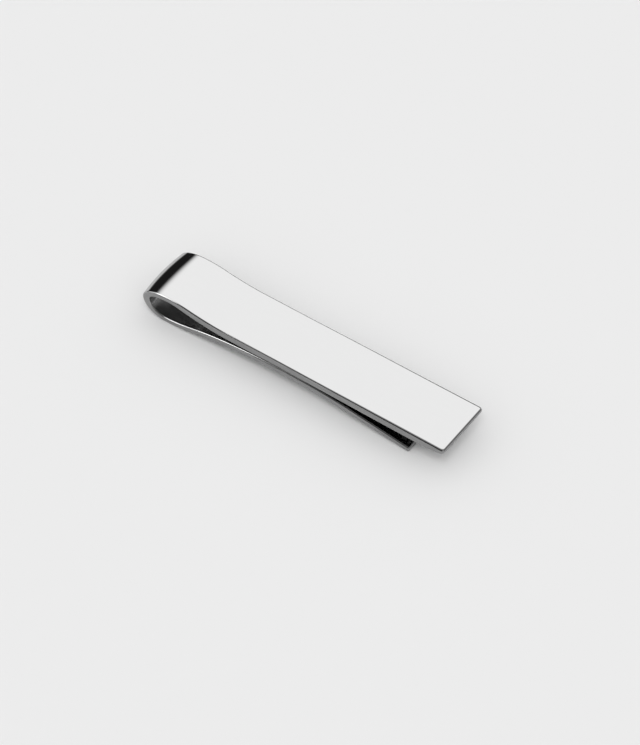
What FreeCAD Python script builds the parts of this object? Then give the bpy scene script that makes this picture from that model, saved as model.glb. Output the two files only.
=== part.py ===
# Spring money clip: one polished strip bent into a hairpin, modelled zone by zone.
#
# Frame: +X runs from the loop to the free end of the front plate, +Z is up, and the origin is on the
# table under the middle of the clip. The clip lies on the belly of its loop and on the tongue's tip.
#
# The strip is followed from the front plate, round the loop and out along the tongue. A "station" is
# a place on its centre line, with a heading in degrees: 180 runs towards the loop, 270 straight down
# and 360 back towards the free end. Between two stations each face of the strip is one cubic curve
# that leaves and arrives along the headings.
import FreeCAD, Part
import os
import Sketcher

PARTS_FOLDER = "parts"

DIMENSIONS = {
    "overall_length": 55.5,
    "strip_width": 10.05,
    "edge_radius": 0.25,
    # the front plate is parallel next to the loop, then flares to its free end
    "plate_flare_start": 25.5,
    "plate_end_width": 10.5,
    "plate_corner_radius": 0.5,
    "plate_tip_thickness": 0.95,
    "plate_tip_taper": 4.0,
    "tongue_corner_radius": 0.3,
    # the slit between the two halves of the loop, where the strip flexes
    "flexure_slit": 0.12,
    # how far a curve's handles reach, as a share of its run along the heading
    "gentle_reach": 1 / 3,
    "round_reach": 0.57,
}

# station: distance from the fold, height above the table, heading, thickness
STATIONS = {
    "plate": (16.2, 4.045, 180, 1.35),
    "neck": (8.8, 4.75, 170, 1.22),
    "hump": (5.3, 5.18, 180, 0.95),
    "fold": (0.675, 3.27, 270, 1.35),
    "belly": (4.7, 0.45, 360, 0.90),
    "leg": (12.0, 1.60, 370, 1.02),
    "crest": (26.5, 2.73, 360, 0.95),
    "flare": (38.5, 1.98, 352, 0.95),
    "tip": (49.25, 0.47, 352, 0.95),
}
STATION_FIELDS = ("run", "height", "heading", "thickness")

# curved zone: its stations in order, and how far the handles of its curves reach
CURVED_ZONES = {
    "front_shoulder": (("plate", "neck", "hump"), "gentle_reach"),
    "loop_upper": (("hump", "fold"), "round_reach"),
    "loop_lower": (("fold", "belly"), "round_reach"),
    "spring_leg": (("belly", "leg"), "gentle_reach"),
    "grip_tongue": (("leg", "crest", "flare"), "gentle_reach"),
}

OUTER, INNER = 1, -1

# vertex numbers that a sketch gives to the start, end and centre of its geometry
START, END, CENTRE = 1, 2, 3
SKETCH_ORIGIN = (-1, 1)

TOUCHING = 1e-4
SHARP_COSINE = 0.5


def make_sheet(doc):
    """The driving dimensions: names in column A, numbers with aliases in column B."""
    sheet = doc.addObject("Spreadsheet::Sheet", "dims")
    values = dict(DIMENSIONS)
    for station, numbers in STATIONS.items():
        for field, number in zip(STATION_FIELDS, numbers):
            values[f"{station}_{field}"] = number
    for row, (alias, number) in enumerate(values.items(), start=1):
        sheet.set(f"A{row}", alias)
        sheet.set(f"B{row}", str(number))
        sheet.setAlias(f"B{row}", alias)
    doc.recompute()


def value(doc, expression):
    """The present value of an expression on the sheet."""
    return float(doc.dims.evalExpression(expression.replace("dims.", "")))


def vector(doc, point):
    """The present place of a point that is given as two expressions."""
    return FreeCAD.Vector(value(doc, point[0]), value(doc, point[1]), 0)


def from_middle(run):
    """A distance from the fold, as a distance from the middle of the clip."""
    return f"({run} - dims.overall_length / 2)"


def face_point(station, side):
    """Expressions for the place where one face of the strip passes a station."""
    offset = f"{side} * dims.{station}_thickness / 2"
    x = f"({from_middle(f'dims.{station}_run')} + {offset} * sin(dims.{station}_heading))"
    z = f"(dims.{station}_height - {offset} * cos(dims.{station}_heading))"
    return x, z


def curve_poles(start, end, side, reach):
    """Expressions for the four poles of one face between two stations."""
    (x0, z0), (x3, z3) = face_point(start, side), face_point(end, side)

    def handle(station, x, z, sign):
        along_x, along_z = f"cos(dims.{station}_heading)", f"sin(dims.{station}_heading)"
        length = f"dims.{reach} * (({x3} - {x0}) * {along_x} + ({z3} - {z0}) * {along_z})"
        return f"{x} {sign} {length} * {along_x}", f"{z} {sign} {length} * {along_z}"

    return [(x0, z0), handle(start, x0, z0, "+"), handle(end, x3, z3, "-"), (x3, z3)]


def new_body(doc, label):
    body = doc.addObject("PartDesign::Body", label)
    body.Label = label
    return body


def new_sketch(body, name, role):
    """A sketch on one of the body's own origin planes."""
    sketch = body.newObject("Sketcher::SketchObject", name)
    plane = next(feature for feature in body.Origin.OriginFeatures if feature.Role == role)
    sketch.AttachmentSupport = [(plane, "")]
    sketch.MapMode = "FlatFace"
    return sketch


def bind_point(sketch, geometry, vertex, point):
    """Hold a point of the sketch at two expressions, measured from the sketch's origin."""
    for kind, expression in zip(("DistanceX", "DistanceY"), point):
        distance = value(sketch.Document, expression)
        index = sketch.addConstraint(Sketcher.Constraint(kind, *SKETCH_ORIGIN, geometry, vertex, distance))
        sketch.setExpression(f"Constraints[{index}]", expression)


def add_curve(sketch, poles):
    """A cubic curve whose poles are bound to the sheet."""
    bezier = Part.BezierCurve()
    bezier.setPoles([vector(sketch.Document, pole) for pole in poles])
    curve = sketch.addGeometry(bezier.toBSpline(), False)
    sketch.exposeInternalGeometry(curve)
    for offset, pole in enumerate(poles, start=1):
        bind_point(sketch, curve + offset, CENTRE, pole)
    return curve


def add_face(sketch, stations, side, reach):
    """One face of the strip along a run of stations. Gives its first and last curve."""
    pairs = zip(stations, stations[1:])
    curves = [add_curve(sketch, curve_poles(start, end, side, reach)) for start, end in pairs]
    return curves[0], curves[-1]


def add_cap(sketch, outer, inner, vertex):
    """The straight end of an outline, from its outer face to its inner one."""
    ends = [sketch.getPoint(curve, vertex) for curve in (outer, inner)]
    cap = sketch.addGeometry(Part.LineSegment(*ends), False)
    sketch.addConstraint(Sketcher.Constraint("Coincident", cap, START, outer, vertex))
    sketch.addConstraint(Sketcher.Constraint("Coincident", cap, END, inner, vertex))


def add_polygon(sketch, corners):
    """A closed outline of straight sides, each corner bound to the sheet."""
    places = [vector(sketch.Document, corner) for corner in corners]
    sides = [Part.LineSegment(*ends) for ends in zip(places, places[1:] + places[:1])]
    lines = [sketch.addGeometry(side, False) for side in sides]
    for line, following in zip(lines, lines[1:] + lines[:1]):
        sketch.addConstraint(Sketcher.Constraint("Coincident", line, END, following, START))
    for line, corner in zip(lines, corners):
        bind_point(sketch, line, START, corner)


def pad(body, sketch, length, sides):
    feature = body.newObject("PartDesign::Pad", f"{body.Label}_pad")
    feature.Profile = sketch
    feature.SideType = sides
    feature.setExpression("Length", length)
    body.Document.recompute()


def cut_across(body, sketch, name):
    """Cut a side outline away over the whole width of the body."""
    before = body.Shape.Volume
    feature = body.newObject("PartDesign::Pocket", name)
    feature.Profile = sketch
    feature.SideType = "Symmetric"
    feature.setExpression("Length", "2 * dims.plate_end_width")
    body.Document.recompute()
    if not body.Shape.Volume < before:
        raise RuntimeError(f"{body.Label}: {name} cut nothing")


def fillet(body, name, radius, wanted):
    """Round the edges of the body's last feature that pass a test."""
    base = body.Tip
    edges = enumerate(base.Shape.Edges, start=1)
    names = [f"Edge{index}" for index, edge in edges if wanted(base.Shape, edge)]
    feature = body.newObject("PartDesign::Fillet", f"{body.Label}_{name}")
    feature.Base = (base, names)
    feature.setExpression("Radius", radius)
    body.Document.recompute()


def is_sharp(shape, edge):
    """Whether the two faces at an edge stand about square to each other."""
    middle = edge.valueAt((edge.FirstParameter + edge.LastParameter) / 2)
    faces = shape.ancestorsOfType(edge, Part.Face)
    first, second = (face.normalAt(*face.Surface.parameter(middle)) for face in faces)
    return abs(first.dot(second)) < SHARP_COSINE


def lies_at(doc, edge, station):
    """Whether an edge belongs to the end that the strip has at a station."""
    centre_x = value(doc, from_middle(f"dims.{station}_run"))
    centre_z = value(doc, f"dims.{station}_height")
    reach = value(doc, f"dims.{station}_thickness / 2 + dims.flexure_slit") + TOUCHING
    points = [vertex.Point for vertex in edge.Vertexes]
    return all(FreeCAD.Vector(point.x - centre_x, 0, point.z - centre_z).Length < reach for point in points)


def round_free_corners(body, radius):
    """Round the two corners, seen from above, at the body's end that points along +X."""
    band = value(body.Document, "dims.edge_radius")

    def is_corner(shape, edge):
        box = edge.BoundBox
        return box.YLength < TOUCHING and box.XMin > shape.BoundBox.XMax - band

    fillet(body, "corners", radius, is_corner)


def polish_edges(body, joined_stations):
    """Round every sharp edge, except at the ends where the strip goes on into its next zone."""
    doc = body.Document

    def is_open_rim(shape, edge):
        return is_sharp(shape, edge) and not any(lies_at(doc, edge, station) for station in joined_stations)

    fillet(body, "polished_edges", "dims.edge_radius", is_open_rim)


def make_front_plate(doc):
    """The flat plate, thinned from below at its free end."""
    body = new_body(doc, "front_plate")
    joined_end = from_middle("dims.plate_run")
    flare_start = from_middle("dims.plate_flare_start")
    free_end = "dims.overall_length / 2"
    half_strip = "dims.strip_width / 2"
    half_end = "dims.plate_end_width / 2"
    underside = "(dims.plate_height - dims.plate_thickness / 2)"

    plan = new_sketch(body, "plate_plan", "XY_Plane")
    plan.setExpression("AttachmentOffset.Base.z", underside)
    far_side = [(joined_end, half_strip), (flare_start, half_strip), (free_end, half_end)]
    near_side = [(x, f"-{y}") for x, y in reversed(far_side)]
    add_polygon(plan, far_side + near_side)
    pad(body, plan, "dims.plate_thickness", "One side")

    taper = new_sketch(body, "plate_taper", "XZ_Plane")
    taper_start = f"{free_end} - dims.plate_tip_taper"
    tip_underside = f"{underside} + dims.plate_thickness - dims.plate_tip_thickness"
    add_polygon(taper, [(taper_start, underside), (free_end, underside), (free_end, tip_underside)])
    cut_across(body, taper, "plate_thinning")

    round_free_corners(body, "dims.plate_corner_radius")
    polish_edges(body, ["plate"])
    return body


def make_curved_zone(doc, label):
    """A curved zone: its side outline between two faces, padded to the strip's width."""
    stations, reach = CURVED_ZONES[label]
    body = new_body(doc, label)
    sketch = new_sketch(body, f"{label}_outline", "XZ_Plane")
    first_outer, last_outer = add_face(sketch, stations, OUTER, reach)
    first_inner, last_inner = add_face(sketch, stations, INNER, reach)
    add_cap(sketch, first_outer, first_inner, START)
    add_cap(sketch, last_outer, last_inner, END)
    pad(body, sketch, "dims.strip_width", "Symmetric")
    return body


def open_flexure(body):
    """Cut the slit that lets the upper half of the loop turn against the lower half."""
    sketch = new_sketch(body, "slit_outline", "XZ_Plane")
    centre = from_middle("dims.fold_run")
    left, right = f"{centre} - dims.fold_thickness", f"{centre} + dims.fold_thickness"
    bottom, top = "dims.fold_height", "dims.fold_height + dims.flexure_slit"
    add_polygon(sketch, [(left, bottom), (right, bottom), (right, top), (left, top)])
    cut_across(body, sketch, "flexure_opening")


def make_tongue_tip(doc):
    """The straight end of the tongue, with rounded corners and a polished rim."""
    body = new_body(doc, "tongue_tip")
    sketch = new_sketch(body, "tongue_tip_outline", "XZ_Plane")
    outer = [face_point(station, OUTER) for station in ("flare", "tip")]
    inner = [face_point(station, INNER) for station in ("tip", "flare")]
    add_polygon(sketch, outer + inner)
    pad(body, sketch, "dims.strip_width", "Symmetric")
    round_free_corners(body, "dims.tongue_corner_radius")
    polish_edges(body, ["flare"])
    return body


def make_clip(doc):
    bodies = [make_front_plate(doc)]
    for label, (stations, _) in CURVED_ZONES.items():
        body = make_curved_zone(doc, label)
        if label == "loop_upper":
            open_flexure(body)
        polish_edges(body, [stations[0], stations[-1]])
        bodies.append(body)
    bodies.append(make_tongue_tip(doc))
    return bodies


def check(doc, bodies):
    """Stop on anything that failed to build."""
    doc.recompute()
    for item in doc.Objects:
        if {"Invalid", "Error"} & set(item.State):
            raise RuntimeError(f"{item.Label}: {item.State}")
    for body in bodies:
        if body.Shape.isNull() or not body.Shape.isValid() or len(body.Shape.Solids) != 1:
            raise RuntimeError(f"{body.Label}: bad shape")


def export(bodies):
    os.makedirs(PARTS_FOLDER, exist_ok=True)
    for body in bodies:
        body.Shape.exportStep(os.path.join(PARTS_FOLDER, f"{body.Label}.step"))
        print(f"{body.Label}: {body.Shape.Volume:.2f} cubic mm")


document = FreeCAD.newDocument("money_clip")
make_sheet(document)
clip = make_clip(document)
check(document, clip)
export(clip)
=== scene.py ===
import math

import bpy
from mathutils import Matrix, Vector


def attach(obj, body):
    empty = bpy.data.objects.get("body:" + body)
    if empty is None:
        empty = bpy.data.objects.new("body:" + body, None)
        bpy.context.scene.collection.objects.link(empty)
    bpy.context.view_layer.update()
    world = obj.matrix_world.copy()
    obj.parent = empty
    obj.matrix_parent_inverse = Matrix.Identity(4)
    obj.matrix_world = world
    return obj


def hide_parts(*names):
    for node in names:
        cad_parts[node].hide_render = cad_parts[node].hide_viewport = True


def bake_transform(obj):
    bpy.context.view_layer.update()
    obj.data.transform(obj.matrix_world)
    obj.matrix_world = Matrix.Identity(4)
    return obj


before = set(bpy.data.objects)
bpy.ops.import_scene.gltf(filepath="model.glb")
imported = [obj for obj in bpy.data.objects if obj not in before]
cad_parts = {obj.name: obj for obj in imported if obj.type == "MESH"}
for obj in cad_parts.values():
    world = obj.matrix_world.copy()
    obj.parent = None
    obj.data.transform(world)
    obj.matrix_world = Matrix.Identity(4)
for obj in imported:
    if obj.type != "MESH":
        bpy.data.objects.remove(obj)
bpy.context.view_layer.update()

# ---------------------------------------------------------------- sizes, in millimetres and degrees
MM = 0.001
LENGTH = 55.5
STRIP_WIDTH = 10.05
PLATE_END_WIDTH = 10.49
FLARE_START = 25.5
EDGE_RADIUS = 0.25
# how far a curve's poles reach between stations, for an easy bend and for the tight fold
GENTLE, ROUND = 1 / 3, 0.57

# name: distance from the fold, height above the table, heading, thickness
STATIONS = {
    "plate": (16.2, 4.045, 180, 1.35),
    "neck": (8.8, 4.75, 170, 1.22),
    "hump": (5.3, 5.18, 180, 0.95),
    "fold": (0.675, 3.27, 270, 1.35),
    "belly": (4.7, 0.45, 360, 0.90),
    "leg": (12.0, 1.60, 370, 1.02),
    "crest": (26.5, 2.73, 360, 0.95),
    "flare": (38.5, 1.98, 352, 0.95),
    "tip": (49.25, 0.47, 352, 0.95),
}
# the plate's underside rises to its free end: a long taper, then a short roll-off
PLATE_TAPER, PLATE_TAPER_LENGTH = 0.40, 4.0
PLATE_ROLL, PLATE_ROLL_LENGTH = 0.33, 1.6
# the plate's upper rim grows rounder and its lower rim sharper towards that end
UPPER_RIM_GROWTH, LOWER_RIM_LOSS = 0.17, 0.10
PLATE_CORNER = 0.6
TONGUE_CORNER = 0.3

# the edges of the strip draw in where it is folded tightest
FOLD_BOW = 0.40
FOLD_BOW_REACH = 5.6

X_WAY = Vector((1, 0, 0))
OUTER, INNER = 1, -1
NEAR, FAR = -1, 1
# how far each face is from a mirror finish towards the walls' ground one, whose darker tone is painted
# shade; the inner faces take a share of both
FACE_SATIN_AND_SHADE = {OUTER: 0.0, INNER: 0.3}

# mesh rows: across a face, round a rim, round an end's corner, along the plate and up to each other station
ACROSS = 28
ARC_STEPS = 7
CORNER_STEPS = 8
PLATE_STEPS = 60
STEPS = {"neck": 24, "hump": 16, "fold": 56, "belly": 56, "leg": 24, "crest": 30, "flare": 24, "tip": 12}


# ---------------------------------------------------------------- the strip's profile
def face_point(station, side):
    """The point of one face of the strip at a station, in the plane of the profile."""
    run, height, heading, thickness = STATIONS[station]
    turn = math.radians(heading)
    across = side * thickness / 2
    return Vector((run - LENGTH / 2 + across * math.sin(turn), height - across * math.cos(turn)))


def heading_of(station):
    turn = math.radians(STATIONS[station][2])
    return Vector((math.cos(turn), math.sin(turn)))


def face_poles(start, end, side, reach):
    """The four poles of a face's curve between two stations."""
    first, last = face_point(start, side), face_point(end, side)
    leave, arrive = heading_of(start), heading_of(end)
    step = last - first
    second = first + leave * (reach * step.dot(leave))
    third = last - arrive * (reach * step.dot(arrive))
    return first, second, third, last


def bezier(poles, t):
    """Point and direction on a cubic curve."""
    a, b, c, d = poles
    s = 1 - t
    point = a * s ** 3 + b * (3 * s * s * t) + c * (3 * s * t * t) + d * t ** 3
    slope = (b - a) * (3 * s * s) + (c - b) * (6 * s * t) + (d - c) * (3 * t * t)
    return point, slope.normalized()


def faces_between(start, end, reach, share=1.0):
    """Rows of the strip from one station to the next, or for a share of the way there. A row is a point
    and a normal on each face."""
    curves = {side: face_poles(start, end, side, reach) for side in (OUTER, INNER)}
    rows = []
    for i in range(STEPS[end] + 1):
        t = share * i / STEPS[end]
        row = {}
        for side in (OUTER, INNER):
            point, along = bezier(curves[side], t)
            row[side] = (point, Vector((along.y, -along.x)) * side)
        rows.append(row)
    return rows


def chain(*runs):
    """Joins runs of rows, each of which starts where the last one ended."""
    rows = list(runs[0])
    for run in runs[1:]:
        rows += run[1:]
    return rows


def smooth(value):
    t = min(1.0, max(0.0, value))
    return t * t * (3 - 2 * t)


def plate_row(x):
    """The row of the flat plate at a place along the clip, thinned from below towards its free end."""
    top = face_point("plate", OUTER).y
    bottom = face_point("plate", INNER).y
    left = LENGTH / 2 - x
    taper = max(0.0, 1 - left / PLATE_TAPER_LENGTH)
    roll = max(0.0, 1 - left / PLATE_ROLL_LENGTH)
    bottom += PLATE_TAPER * taper + PLATE_ROLL * roll * roll
    slope = PLATE_TAPER / PLATE_TAPER_LENGTH * (taper > 0) + 2 * PLATE_ROLL * roll / PLATE_ROLL_LENGTH
    below = Vector((slope, -1)).normalized()
    return {OUTER: (Vector((x, top)), Vector((0, 1))), INNER: (Vector((x, bottom)), below)}


# ---------------------------------------------------------------- from rows to a closed mesh
def plate_half_width(x):
    share = (x + LENGTH / 2 - FLARE_START) / (LENGTH - FLARE_START)
    return (STRIP_WIDTH + (PLATE_END_WIDTH - STRIP_WIDTH) * max(0.0, share)) / 2


def moved(row, shift):
    """A row slid along the strip's straight end."""
    return {side: (row[side][0] + shift, row[side][1]) for side in (OUTER, INNER)}


def plate_rims(x):
    """The rounding of the plate's rims at a place along the clip."""
    share = smooth(2 * x / LENGTH)
    return {OUTER: EDGE_RADIUS + UPPER_RIM_GROWTH * share, INNER: EDGE_RADIUS - LOWER_RIM_LOSS * share}


PLAIN_RIMS = {OUTER: EDGE_RADIUS, INNER: EDGE_RADIUS}


def section(row_at, half_width, radii, corner=0.0, turn=0.0, end_way=X_WAY):
    """One ring round the strip, as (point, normal, share of ground finish and painted shade), from the near
    end of the outer face round to the near wall. turn is 0 on the long edges and grows to a right angle
    round an end's corner."""
    ring, seat, lift, half = [], {}, {}, {}
    for side in (OUTER, INNER):
        tight = max(0.0, corner - radii[side])
        point, normal = row_at(tight * math.sin(turn))[side]
        seat[side] = Vector((point.x, 0, point.y))
        lift[side] = Vector((normal.x, 0, normal.y))
        half[side] = half_width - radii[side] - tight * (1 - math.cos(turn))

    def flat(side, way):
        for j in range(ACROSS + 1):
            y = way * half[side] * (2 * j / ACROSS - 1)
            ring.append((seat[side] + Vector((0, y, 0)), lift[side], FACE_SATIN_AND_SHADE[side]))

    def arcs(way, first, second):
        out = Vector((0, way * math.cos(turn), 0)) + end_way * math.sin(turn)
        for side, order in ((first, range(1, ARC_STEPS + 1)), (second, range(ARC_STEPS, 0, -1))):
            for k in order:
                angle = math.pi / 2 * k / ARC_STEPS
                normal = lift[side] * math.cos(angle) + out * math.sin(angle)
                centre = seat[side] - lift[side] * radii[side] + Vector((0, way * half[side], 0))
                # painted shade: round each rim the share of the walls' darker tone grows towards the wall,
                # along with their ground finish
                wall = smooth(math.sin(angle) ** 2)
                satin_and_shade = FACE_SATIN_AND_SHADE[side] + (1 - FACE_SATIN_AND_SHADE[side]) * wall
                ring.append((centre + normal * radii[side], normal, satin_and_shade))

    flat(OUTER, 1)
    arcs(FAR, OUTER, INNER)
    flat(INNER, -1)
    arcs(NEAR, INNER, OUTER)
    return ring


def end_rings(row_at, half_width, radii, corner, end_way):
    """The rings that carry the strip round the corners of its free end."""
    turns = [math.pi / 2 * k / CORNER_STEPS for k in range(CORNER_STEPS + 1)]
    return [section(row_at, half_width, radii, corner, turn, end_way) for turn in turns]


def ring_index():
    """Where each stretch of a ring starts."""
    flat = ACROSS + 1
    arcs = 2 * ARC_STEPS
    return {"far": flat, "inner": flat + arcs, "near": 2 * flat + arcs, "size": 2 * flat + 2 * arcs}


def strip_mesh(name, rings, start=0.0, free_start=False, free_end=False):
    """A closed mesh from rings, the first of which lies at start along the strip. A free end gets a rounded
    end face, and any other end a flat cap."""
    at = ring_index()
    size = at["size"]
    points = [item for ring in rings for item in ring]
    faces, caps = [], []
    for i in range(len(rings) - 1):
        for j in range(size):
            k = (j + 1) % size
            faces.append((i * size + j, i * size + k, (i + 1) * size + k, (i + 1) * size + j))
    for index, is_free in ((0, free_start), (len(rings) - 1, free_end)):
        base = index * size
        backwards = index == 0
        if not is_free:
            cap = [base + j for j in range(size)]
            caps.append(tuple(cap if not backwards else reversed(cap)))
            continue
        columns = end_columns(points, base, at)
        for left, right in zip(columns, columns[1:]):
            for p in range(len(left) - 1):
                face = (left[p], right[p], right[p + 1], left[p + 1])
                faces.append(face if not backwards else tuple(reversed(face)))
    mesh = bpy.data.meshes.new(name)
    mesh.from_pydata([p * MM for p, _, _ in points], [], faces + caps)
    mesh.polygons.foreach_set("use_smooth", [True] * len(mesh.polygons))
    places, reach = grain_places(rings, points, start, 0 if free_start else len(rings) - 1)
    return mesh, points, len(faces), places, reach


def end_columns(points, base, at):
    """The upright columns of the end face of the ring whose points start at base, from the near corner to
    the far one. The outermost two are the ring's own, and those between are added to the points."""
    profile = 2 * ARC_STEPS
    near_wall = [base + at["near"] + profile - 1 - p for p in range(profile)]
    far_wall = [base + at["far"] + p for p in range(profile)]
    near = [base] + near_wall + [base + at["inner"] + ACROSS]
    far = [base + ACROSS] + far_wall + [base + at["inner"]]
    columns = [near]
    for j in range(1, ACROSS):
        share = j / ACROSS
        column = [base + j]
        for p in range(1, profile + 1):
            a, b = points[near[p]], points[far[p]]
            points.append((a[0].lerp(b[0], share), a[1], a[2]))
            column.append(len(points) - 1)
        column.append(base + at["inner"] + ACROSS - j)
        columns.append(column)
    columns.append(far)
    return columns


def grain_places(rings, points, start, end_ring):
    """Where each point lies along, across and through the strip, so that its marks can follow the bends. The
    points of an end face belong to the ring at that end."""
    centres = [sum((p for p, _, _ in ring), Vector()) / len(ring) for ring in rings]
    along = [start]
    for before, after in zip(centres, centres[1:]):
        along.append(along[-1] + (after - before).length)
    places = []
    for index, (point, _, _) in enumerate(points):
        number = index // len(rings[0])
        if number >= len(rings):
            number = end_ring
        offset = point - centres[number]
        places.append(Vector((along[number], offset.y, offset.dot(rings[number][0][1]))))
    return places, along[-1]


def bow(point, normal):
    """Draws the strip's edges in towards the clip's middle near the fold."""
    run = point.x + LENGTH / 2
    fade = smooth(1 - run / FOLD_BOW_REACH)
    if fade == 0:
        return point, normal
    share = point.y / (STRIP_WIDTH / 2)
    shift = FOLD_BOW * fade * share * share
    slope = 2 * FOLD_BOW * fade * share / (STRIP_WIDTH / 2)
    bent = Vector((normal.x, normal.y - slope * normal.x, normal.z)).normalized()
    return point + Vector((shift, 0, 0)), bent


def add_piece(name, mesh_parts):
    """Makes the object, with its exact normals, its share of ground finish and painted shade, and its grain.
    Also gives how far along the strip it ends."""
    mesh, points, cap_start, places, reach = mesh_parts
    shaped = [bow(p, n) for p, n, _ in points]
    mesh.vertices.foreach_set("co", [c * MM for p, _ in shaped for c in p])
    mesh.update()
    loops = [Vector()] * len(mesh.loops)
    for polygon in mesh.polygons:
        flat_cap = polygon.index >= cap_start
        for corner in polygon.loop_indices:
            vertex = mesh.loops[corner].vertex_index
            loops[corner] = polygon.normal.copy() if flat_cap else shaped[vertex][1]
    mesh.normals_split_custom_set(loops)
    # painted shade: this share darkens the base colour of the walls, and also makes them rougher
    satin_and_shade = mesh.attributes.new("satin_and_shade", "FLOAT", "POINT")
    satin_and_shade.data.foreach_set("value", [share for _, _, share in points])
    grain = mesh.attributes.new("grain", "FLOAT_VECTOR", "POINT")
    grain.data.foreach_set("vector", [c for place in places for c in place])
    obj = bpy.data.objects.new(name, mesh)
    bpy.context.scene.collection.objects.link(obj)
    return obj, reach


def plain_rings(rows):
    return [section(lambda reach, row=row: row, STRIP_WIDTH / 2, PLAIN_RIMS) for row in rows]


def build_front():
    """The plate and the shoulder that rises from it to the loop."""
    seam = face_point("plate", OUTER).x
    corner = LENGTH / 2 - PLATE_CORNER
    half_width = plate_half_width(corner)
    rims = plate_rims(LENGTH / 2)
    rings = end_rings(lambda reach: plate_row(corner + reach), half_width, rims, PLATE_CORNER, X_WAY)
    rings.reverse()
    for i in range(1, PLATE_STEPS + 1):
        share = i / PLATE_STEPS
        x = corner + (seam - corner) * share * share
        rings.append(section(lambda reach, x=x: plate_row(x), plate_half_width(x), plate_rims(x)))
    shoulder = chain(faces_between("plate", "neck", GENTLE), faces_between("neck", "hump", GENTLE))
    rings += plain_rings(shoulder[1:])
    return add_piece("front_strip", strip_mesh("front_strip", rings, free_start=True))


def build_loop(start):
    """The tight loop from the top of the hump round the fold to the belly."""
    rows = chain(faces_between("hump", "fold", ROUND), faces_between("fold", "belly", ROUND))
    return add_piece("loop_strip", strip_mesh("loop_strip", plain_rings(rows), start))


def build_back(start):
    """The sprung leg and the tongue, which swells to the crest and falls to its tip."""
    fall = heading_of("tip")
    length = STATIONS["tip"][0] - STATIONS["flare"][0]
    rows = chain(
        faces_between("belly", "leg", GENTLE),
        faces_between("leg", "crest", GENTLE),
        faces_between("crest", "flare", GENTLE),
        faces_between("flare", "tip", GENTLE, share=1 - TONGUE_CORNER / length),
    )
    end_way = Vector((fall.x, 0, fall.y))
    rings = plain_rings(rows[:-1])
    half_width = STRIP_WIDTH / 2
    last = rows[-1]
    end = end_rings(lambda reach: moved(last, fall * reach), half_width, PLAIN_RIMS, TONGUE_CORNER, end_way)
    rings += end
    return add_piece("back_strip", strip_mesh("back_strip", rings, start, free_end=True))


# ---------------------------------------------------------------- materials
# the lines run lengthwise: their scale is per millimetre along, across and through the strip
LINE_SCALE = (0.18, 9, 9)
LINE_DETAIL = 3.0
# the middle of the noise's range, which is spread over each of the ranges below
LINE_LOW, LINE_HIGH = 0.3, 0.7
# painted shade: the walls' darker base colour stands in for the shaded floor that they mirror; their higher
# roughness is the real ground finish
FACE_TONE, WALL_SHADED_TONE = (0.472, 0.478), (0.25, 0.38)
FACE_ROUGHNESS, WALL_ROUGHNESS = (0.040, 0.050), (0.26, 0.34)


def new_material(name):
    material = bpy.data.materials.new(name)
    material.use_nodes = True
    nodes = material.node_tree.nodes
    nodes.clear()
    output = nodes.new("ShaderNodeOutputMaterial")
    shader = nodes.new("ShaderNodeBsdfPrincipled")
    material.node_tree.links.new(shader.outputs["BSDF"], output.inputs["Surface"])
    return material, shader


def steel():
    """Polished strip steel: mirror faces with faint polishing lines, and walls that show the marks of
    grinding, with a rougher finish and a darker base colour that is painted shade, standing in for a darker
    floor in their reflection."""
    material, shader = new_material("polished_steel")
    nodes, links = material.node_tree.nodes, material.node_tree.links
    shader.inputs["Metallic"].default_value = 1.0
    place = nodes.new("ShaderNodeAttribute")
    place.attribute_name = "grain"
    stretch = nodes.new("ShaderNodeMapping")
    stretch.inputs["Scale"].default_value = LINE_SCALE
    links.new(place.outputs["Vector"], stretch.inputs["Vector"])
    lines = nodes.new("ShaderNodeTexNoise")
    lines.inputs["Scale"].default_value = 1.0
    lines.inputs["Detail"].default_value = LINE_DETAIL
    links.new(stretch.outputs["Vector"], lines.inputs["Vector"])
    satin_and_shade = nodes.new("ShaderNodeAttribute")
    satin_and_shade.attribute_name = "satin_and_shade"

    def spread(low, high):
        """A value that runs from low to high with the lines."""
        span = nodes.new("ShaderNodeMapRange")
        span.inputs["From Min"].default_value = LINE_LOW
        span.inputs["From Max"].default_value = LINE_HIGH
        span.inputs["To Min"].default_value = low
        span.inputs["To Max"].default_value = high
        links.new(lines.outputs["Fac"], span.inputs["Value"])
        return span.outputs["Result"]

    def by_satin_and_shade(face, wall):
        """A value that is face on a mirror face and wall on a ground wall; for the base colour, the wall's
        darkness is painted shade.
        """
        mix = nodes.new("ShaderNodeMix")
        mix.data_type = "FLOAT"
        links.new(satin_and_shade.outputs["Fac"], mix.inputs["Factor"])
        links.new(face, mix.inputs["A"])
        links.new(wall, mix.inputs["B"])
        return mix.outputs["Result"]

    # painted shade: the walls, and the inner faces in part, get the darker base colour
    links.new(by_satin_and_shade(spread(*FACE_TONE), spread(*WALL_SHADED_TONE)), shader.inputs["Base Color"])
    links.new(by_satin_and_shade(spread(*FACE_ROUGHNESS), spread(*WALL_ROUGHNESS)), shader.inputs["Roughness"])
    return material


# a plain pale table with a barely seen mottle
FLOOR_TONES = (0.800, 0.804)
MOTTLE_SCALE = 3.0
FLOOR_ROUGHNESS = 0.9


def floor_material():
    material, shader = new_material("pale_floor")
    nodes, links = material.node_tree.nodes, material.node_tree.links
    place = nodes.new("ShaderNodeTexCoord")
    mottle = nodes.new("ShaderNodeTexNoise")
    mottle.inputs["Scale"].default_value = MOTTLE_SCALE
    links.new(place.outputs["Object"], mottle.inputs["Vector"])
    tone = nodes.new("ShaderNodeMix")
    tone.data_type = "FLOAT"
    tone.inputs["A"].default_value, tone.inputs["B"].default_value = FLOOR_TONES
    links.new(mottle.outputs["Fac"], tone.inputs["Factor"])
    links.new(tone.outputs["Result"], shader.inputs["Base Color"])
    shader.inputs["Roughness"].default_value = FLOOR_ROUGHNESS
    shader.inputs["Specular IOR Level"].default_value = 0.0
    return material


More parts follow.
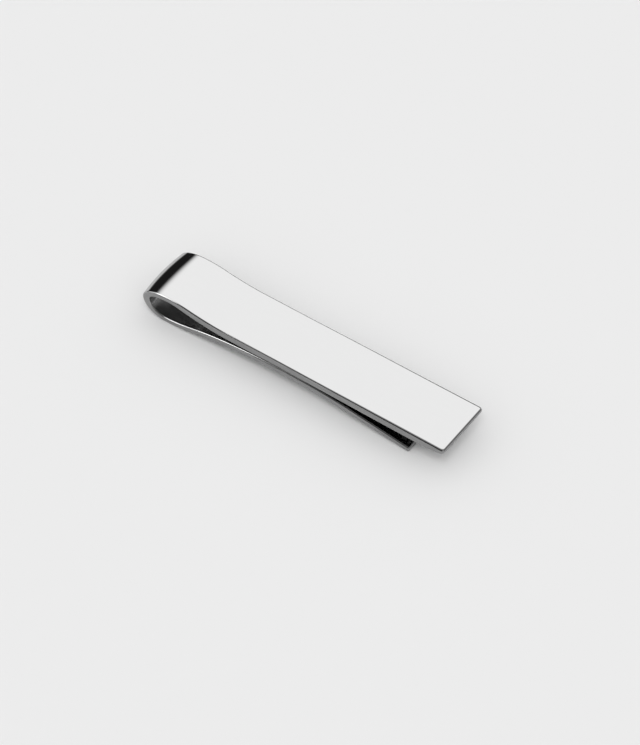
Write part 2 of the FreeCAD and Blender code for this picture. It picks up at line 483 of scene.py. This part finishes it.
# ---------------------------------------------------------------- floor, light and camera
# in metres
FLOOR_RADIUS = 12.0
FLOOR_DROP = 0.00002
FLOOR_SIDES = 64

# The tent is an even room with panels laid over it, each over the ones before. A panel has its compass
# bearing from +X towards +Y, its reach to each side, its lowest and highest edge and the softness of its
# edges, all in degrees, and its brightness. The plate mirrors the back panel, and the fold the gap below it.
ROOM = 0.5
PANELS = {
    "right_card": (45, 35, 0, 60, 20, 0.30),
    "front_card": (270, 30, 5, 60, 15, 0.05),
    "left_panel": (200, 22, 22, 50, 12, 1.20),
    "gap": (125, 40, 8, 30, 10, 0.02),
    "back_panel": (115, 45, 40, 66, 12, 1.72),
}


def build_floor():
    turns = [2 * math.pi * i / FLOOR_SIDES for i in range(FLOOR_SIDES)]
    ring = [(FLOOR_RADIUS * math.cos(turn), FLOOR_RADIUS * math.sin(turn), 0) for turn in turns]
    mesh = bpy.data.meshes.new("floor")
    mesh.from_pydata(ring, [], [tuple(range(FLOOR_SIDES))])
    floor = bpy.data.objects.new("floor", mesh)
    floor.location.z = -FLOOR_DROP
    bpy.context.scene.collection.objects.link(floor)
    mesh.materials.append(floor_material())


def build_tent():
    """A soft light tent all round, which only the metal shows."""
    world = bpy.data.worlds.new("tent")
    bpy.context.scene.world = world
    world.use_nodes = True
    nodes, links = world.node_tree.nodes, world.node_tree.links
    nodes.clear()

    def math_node(operation, *values):
        node = nodes.new("ShaderNodeMath")
        node.operation = operation
        for socket, value in zip(node.inputs, values):
            links.new(value, socket)
        return node.outputs["Value"]

    def edge(value, outside, inside):
        """Runs softly from 0 at the outside angle to 1 at the inside one."""
        ramp = nodes.new("ShaderNodeMapRange")
        ramp.interpolation_type = "SMOOTHSTEP"
        ramp.inputs["From Min"].default_value = math.radians(outside)
        ramp.inputs["From Max"].default_value = math.radians(inside)
        links.new(value, ramp.inputs["Value"])
        return ramp.outputs["Result"]

    place = nodes.new("ShaderNodeTexCoord").outputs["Generated"]
    axes = nodes.new("ShaderNodeSeparateXYZ")
    links.new(place, axes.inputs["Vector"])
    height = math_node("ARCSINE", axes.outputs["Z"])
    level_way = nodes.new("ShaderNodeVectorMath")
    level_way.operation = "MULTIPLY"
    level_way.inputs[1].default_value = (1, 1, 0)
    links.new(place, level_way.inputs[0])
    level_unit = nodes.new("ShaderNodeVectorMath")
    level_unit.operation = "NORMALIZE"
    links.new(level_way.outputs["Vector"], level_unit.inputs[0])

    shade = None
    for bearing, reach, low, high, soft, brightness in PANELS.values():
        turn = math.radians(bearing)
        towards = nodes.new("ShaderNodeVectorMath")
        towards.operation = "DOT_PRODUCT"
        towards.inputs[1].default_value = (math.cos(turn), math.sin(turn), 0)
        links.new(level_unit.outputs["Vector"], towards.inputs[0])
        aside = math_node("ARCCOSINE", towards.outputs["Value"])
        across = edge(aside, reach + soft, reach)
        upright = math_node("MULTIPLY", edge(height, low - soft, low), edge(height, high + soft, high))
        cover = nodes.new("ShaderNodeMix")
        cover.data_type = "FLOAT"
        links.new(math_node("MULTIPLY", across, upright), cover.inputs["Factor"])
        if shade is None:
            cover.inputs["A"].default_value = ROOM
        else:
            links.new(shade, cover.inputs["A"])
        cover.inputs["B"].default_value = brightness
        shade = cover.outputs["Result"]
    glow = nodes.new("ShaderNodeBackground")
    links.new(shade, glow.inputs["Color"])
    output = nodes.new("ShaderNodeOutputWorld")
    links.new(glow.outputs["Background"], output.inputs["Surface"])
    world.cycles_visibility.diffuse = False


# a lamp has its compass bearing, its height and the angle that it spans, all in degrees, and its strength
LAMPS = {
    "key": (300, 62, 24, 0.80),
    "fill": (0, 90, 160, 2.58),
}


def build_lamps():
    """Soft lamps for the table. The metal shows only the tent and the card."""
    for name, (bearing, height, span, strength) in LAMPS.items():
        turn, rise = math.radians(bearing), math.radians(height)
        way = Vector((math.cos(rise) * math.cos(turn), math.cos(rise) * math.sin(turn), math.sin(rise)))
        light = bpy.data.lights.new(name, "SUN")
        light.angle = math.radians(span)
        light.energy = strength
        lamp = bpy.data.objects.new(name, light)
        lamp.visible_glossy = False
        lamp.rotation_mode = "QUATERNION"
        lamp.rotation_quaternion = way.to_track_quat("Z", "Y")
        bpy.context.scene.collection.objects.link(lamp)


# a small bright card close to the fold, which the near rims on that side catch, in millimetres and watts
CARD_PLACE = (-64, -38, 62)
CARD_AIM = (-25, -5, 2)
CARD_WIDTH = 45
CARD_POWER = 0.016


def build_card():
    """The card, which only the metal shows."""
    light = bpy.data.lights.new("card", "AREA")
    light.shape = "DISK"
    light.size = CARD_WIDTH * MM
    light.energy = CARD_POWER
    card = bpy.data.objects.new("card", light)
    card.visible_diffuse = False
    card.visible_camera = False
    card.location = Vector(CARD_PLACE) * MM
    card.rotation_mode = "QUATERNION"
    card.rotation_quaternion = (Vector(CARD_PLACE) - Vector(CARD_AIM)).to_track_quat("Z", "Y")
    bpy.context.scene.collection.objects.link(card)


# in degrees and millimetres
CAMERA_TURN = 35.25
CAMERA_RISE = 49.12
CAMERA_DISTANCE = 693.7
CAMERA_AIM = Vector((0.25, 0, 4.72))
CAMERA_SLIDE = (1.367, -3.615)
LENS = 224.8
# in metres
CLIP_START, CLIP_END = 0.01, 100

# light goes to and fro many times in the narrow gap between the two mirror leaves
MIRROR_BOUNCES = 24


def build_camera():
    turn, rise = math.radians(CAMERA_TURN), math.radians(CAMERA_RISE)
    right = Vector((math.cos(turn), math.sin(turn), 0))
    back = Vector((math.sin(turn) * math.cos(rise), -math.cos(turn) * math.cos(rise), math.sin(rise)))
    up = back.cross(right)
    data = bpy.data.cameras.new("camera")
    data.lens = LENS
    data.clip_start, data.clip_end = CLIP_START, CLIP_END
    camera = bpy.data.objects.new("camera", data)
    place = CAMERA_AIM + back * CAMERA_DISTANCE + right * CAMERA_SLIDE[0] + up * CAMERA_SLIDE[1]
    camera.matrix_world = Matrix.Translation(place * MM) @ Matrix((right, up, back)).transposed().to_4x4()
    bpy.context.scene.collection.objects.link(camera)
    bpy.context.scene.camera = camera


# ---------------------------------------------------------------- the scene
bpy.context.scene.view_settings.view_transform = "Standard"
bpy.context.scene.cycles.max_bounces = MIRROR_BOUNCES
bpy.context.scene.cycles.glossy_bounces = MIRROR_BOUNCES
build_floor()
build_tent()
build_lamps()
build_card()
build_camera()

metal = steel()
front, front_end = build_front()
loop, loop_end = build_loop(front_end)
back_strip, _ = build_back(loop_end)
for piece in (front, loop, back_strip):
    piece.data.materials.append(metal)
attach(front, "front_leaf")
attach(back_strip, "back_leaf")
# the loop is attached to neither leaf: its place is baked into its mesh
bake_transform(loop)
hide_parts("front_plate", "front_shoulder")
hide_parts("loop_upper", "loop_lower")
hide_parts("spring_leg", "grip_tongue", "tongue_tip")
